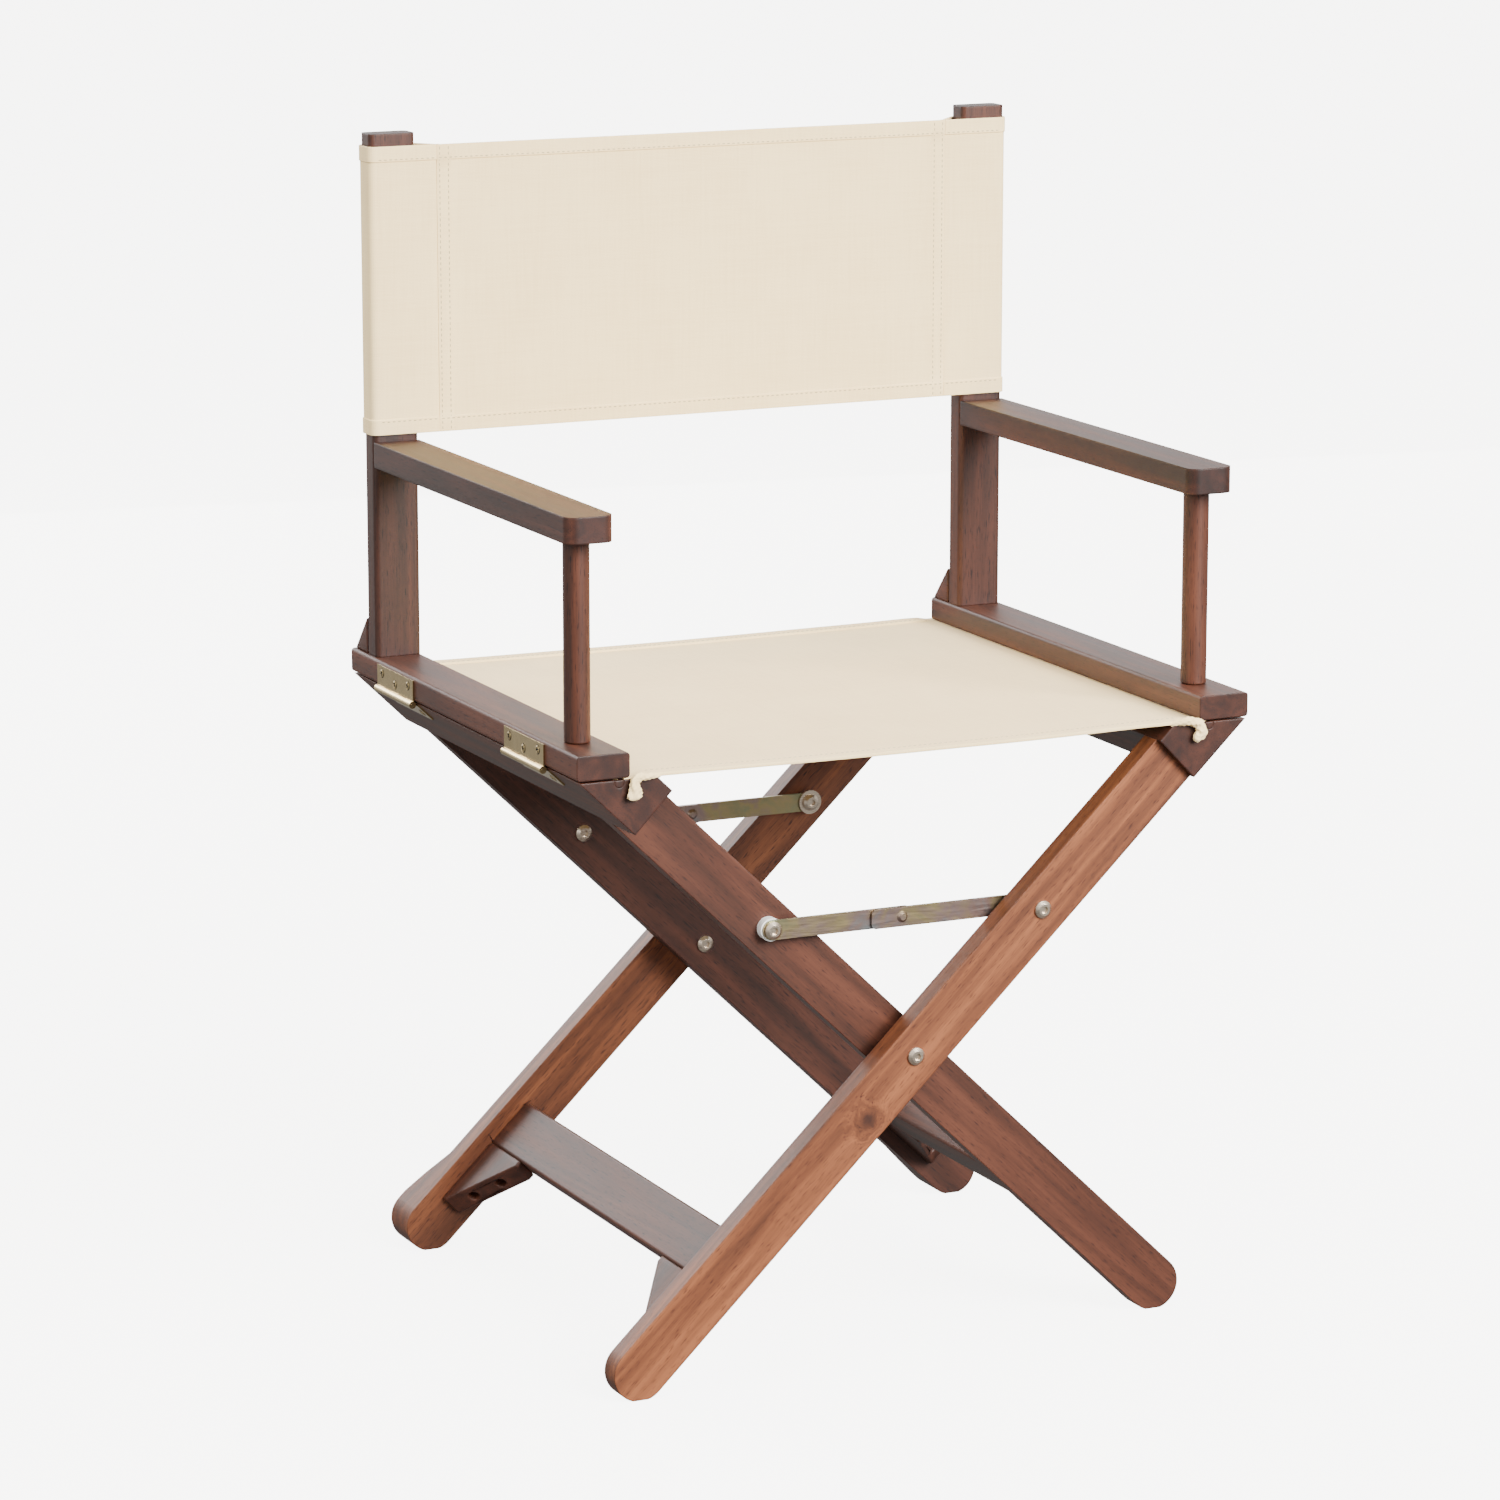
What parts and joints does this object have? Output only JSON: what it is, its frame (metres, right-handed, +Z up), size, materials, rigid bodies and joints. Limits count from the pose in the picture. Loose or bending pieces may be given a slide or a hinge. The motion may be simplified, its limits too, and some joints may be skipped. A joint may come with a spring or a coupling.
{
  "type": "folding chair",
  "caption": "Folding director's chair: wooden X frames and arm frames on hinges, steel folding braces, canvas seat and back.",
  "frame": {"origin": "on the floor under the middle of the open chair", "axes": "+Z up, -Y the way the sitter faces, +X to the right of someone who looks at the chair from the front"},
  "size_m": [0.5422, 0.4476, 0.87],
  "materials": {
    "wood_rails": "satin oiled",
    "wood_legs": "satin oiled",
    "wood_arms": "satin oiled",
    "canvas": "heavy woven cotton",
    "covered_cord": "cloth covered cord",
    "nylon": "moulded",
    "brace_steel": "yellow zinc",
    "hinge_plate": "pale yellow zinc",
    "bright_steel": "zinc plated"
  },
  "bodies": {
    "right_frame": {"right_beam": "wood_rails", "right_front_leg": "wood_legs", "right_rear_leg": "wood_legs", "right_foot_rail": "wood_legs", "right_corner_blocks": "wood_legs", "right_block_screws": "bright_steel", "right_leg_dowels": "wood_legs", "right_lower_leaves": "hinge_plate", "right_hinge_pins": "bright_steel", "right_lower_screws": "bright_steel", "right_edge_cord": "covered_cord", "pivot_bolts": "bright_steel", "pivot_nuts": "bright_steel", "pivot_spacers": "bright_steel", "right_brace_bolts": "bright_steel", "right_brace_nuts": "bright_steel", "brace_spacers_right": "bright_steel", "rear_steel_washer": "bright_steel", "seat_cloth": "canvas"},
    "left_frame": {"left_beam": "wood_rails", "left_front_leg": "wood_legs", "left_rear_leg": "wood_legs", "left_foot_rail": "wood_legs", "left_corner_blocks": "wood_legs", "left_block_screws": "bright_steel", "left_leg_dowels": "wood_legs", "left_lower_leaves": "hinge_plate", "left_hinge_pins": "bright_steel", "left_lower_screws": "bright_steel", "left_edge_cord": "covered_cord", "left_brace_bolts": "bright_steel", "left_brace_nuts": "bright_steel", "brace_spacer_left": "bright_steel", "front_nylon_washer": "nylon"},
    "right_arm": {"right_seat_rail": "wood_rails", "right_post": "wood_arms", "right_wedge": "wood_arms", "right_armrest": "wood_arms", "right_spindle": "wood_arms", "right_upper_leaves": "hinge_plate", "right_upper_screws": "bright_steel", "right_sleeve": "canvas", "back_panel": "canvas"},
    "left_arm": {"left_seat_rail": "wood_rails", "left_post": "wood_arms", "left_wedge": "wood_arms", "left_armrest": "wood_arms", "left_spindle": "wood_arms", "left_upper_leaves": "hinge_plate", "left_upper_screws": "bright_steel", "left_sleeve": "canvas"},
    "front_left_brace": {"front_left_link": "brace_steel", "front_left_rivet": "bright_steel"},
    "front_right_brace": {"front_right_link": "brace_steel", "front_right_rivet": "bright_steel"},
    "rear_left_brace": {"rear_left_link": "brace_steel", "rear_left_rivet": "bright_steel"},
    "rear_right_brace": {"rear_right_link": "brace_steel", "rear_right_rivet": "bright_steel"}
  },
  "joints": [
    {"name": "fold", "type": "hinge", "parent": "right_frame", "child": "left_frame", "pos_m": [0, 0, 0.2296], "axis": [0, 1, 0], "range_deg": [0, 80], "deforming": ["seat_cloth", "back_panel"]},
    {"name": "right_arm_hinge", "type": "hinge", "parent": "right_frame", "child": "right_arm", "pos_m": [0.2684, 0, 0.4556], "axis": [0, 1, 0], "range_deg": [0, 40]},
    {"name": "left_arm_hinge", "type": "hinge", "parent": "left_frame", "child": "left_arm", "pos_m": [-0.2684, 0, 0.4556], "axis": [0, 1, 0], "range_deg": [-40, 0]},
    {"name": "front_left_brace_pivot", "type": "hinge", "parent": "left_frame", "child": "front_left_brace", "pos_m": [-0.10225, 0, 0.32813], "axis": [0, 1, 0], "range_deg": [0, 41.58]},
    {"name": "front_right_brace_pivot", "type": "hinge", "parent": "right_frame", "child": "front_right_brace", "pos_m": [0.10225, 0, 0.32813], "axis": [0, 1, 0], "range_deg": [-41.58, 0]},
    {"name": "rear_left_brace_pivot", "type": "hinge", "parent": "left_frame", "child": "rear_left_brace", "pos_m": [-0.10225, 0, 0.32813], "axis": [0, 1, 0], "range_deg": [0, 41.58]},
    {"name": "rear_right_brace_pivot", "type": "hinge", "parent": "right_frame", "child": "rear_right_brace", "pos_m": [0.10225, 0, 0.32813], "axis": [0, 1, 0], "range_deg": [-41.58, 0]}
  ],
  "couplings": [
    {"joint": "right_arm_hinge", "follows": "fold", "ratio": 0.5},
    {"joint": "left_arm_hinge", "follows": "fold", "ratio": -0.5},
    {"joint": "front_left_brace_pivot", "follows": "fold", "ratio": 0.51961},
    {"joint": "front_right_brace_pivot", "follows": "fold", "ratio": -0.51961},
    {"joint": "rear_left_brace_pivot", "follows": "fold", "ratio": 0.51961},
    {"joint": "rear_right_brace_pivot", "follows": "fold", "ratio": -0.51961}
  ]
}
